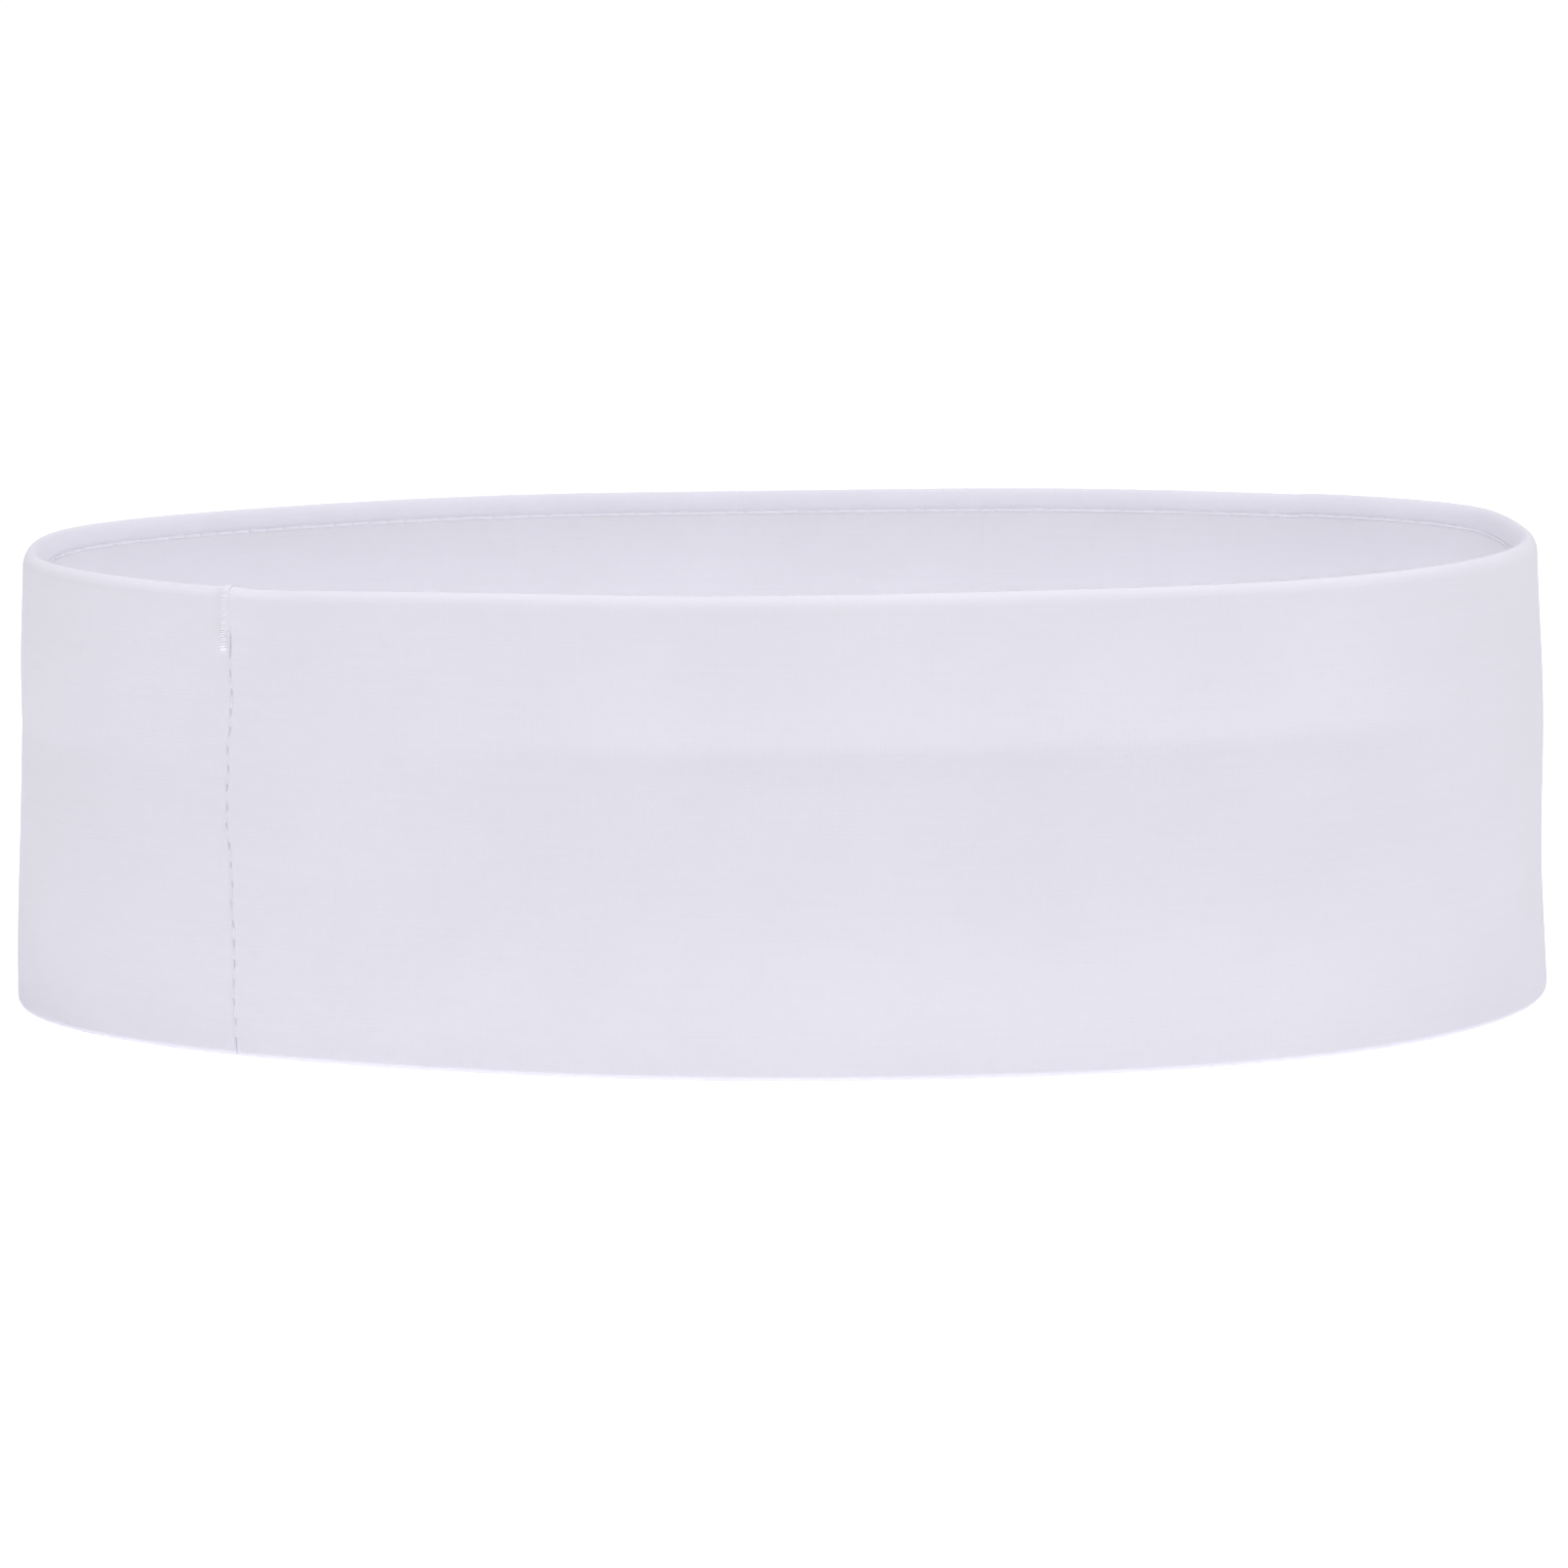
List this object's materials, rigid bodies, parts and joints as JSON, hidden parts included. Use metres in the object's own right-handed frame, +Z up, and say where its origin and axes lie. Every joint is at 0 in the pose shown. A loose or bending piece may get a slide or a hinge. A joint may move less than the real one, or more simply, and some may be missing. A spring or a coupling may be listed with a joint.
{
  "type": "sports headband",
  "caption": "Soft oval ring of plain lined jersey, sewn along both edges, worn round the head in racket sports to keep sweat and hair off the face.",
  "frame": {"origin": "middle of the oval's bounding box, on the plane of the bottom edge that the band stands on", "axes": "+X along the oval's length, +Y towards the back of the band, +Z up the band's height; the closing seam is at the front left, at -X and -Y"},
  "size_m": [0.2042, 0.1152, 0.06],
  "materials": {
    "outer_jersey": "fine matte knit, white with a faint lavender cast",
    "lining_jersey": "fine matte knit",
    "thread": "spun polyester sewing thread"
  },
  "bodies": {
    "root": {"outer_shell": "outer_jersey", "inner_lining": "lining_jersey", "top_seam_thread": "thread", "bottom_seam_thread": "thread", "closing_seam_thread": "thread", "lining_seam_thread": "thread", "gap_edge_stitch": "thread"}
  },
  "joints": []
}
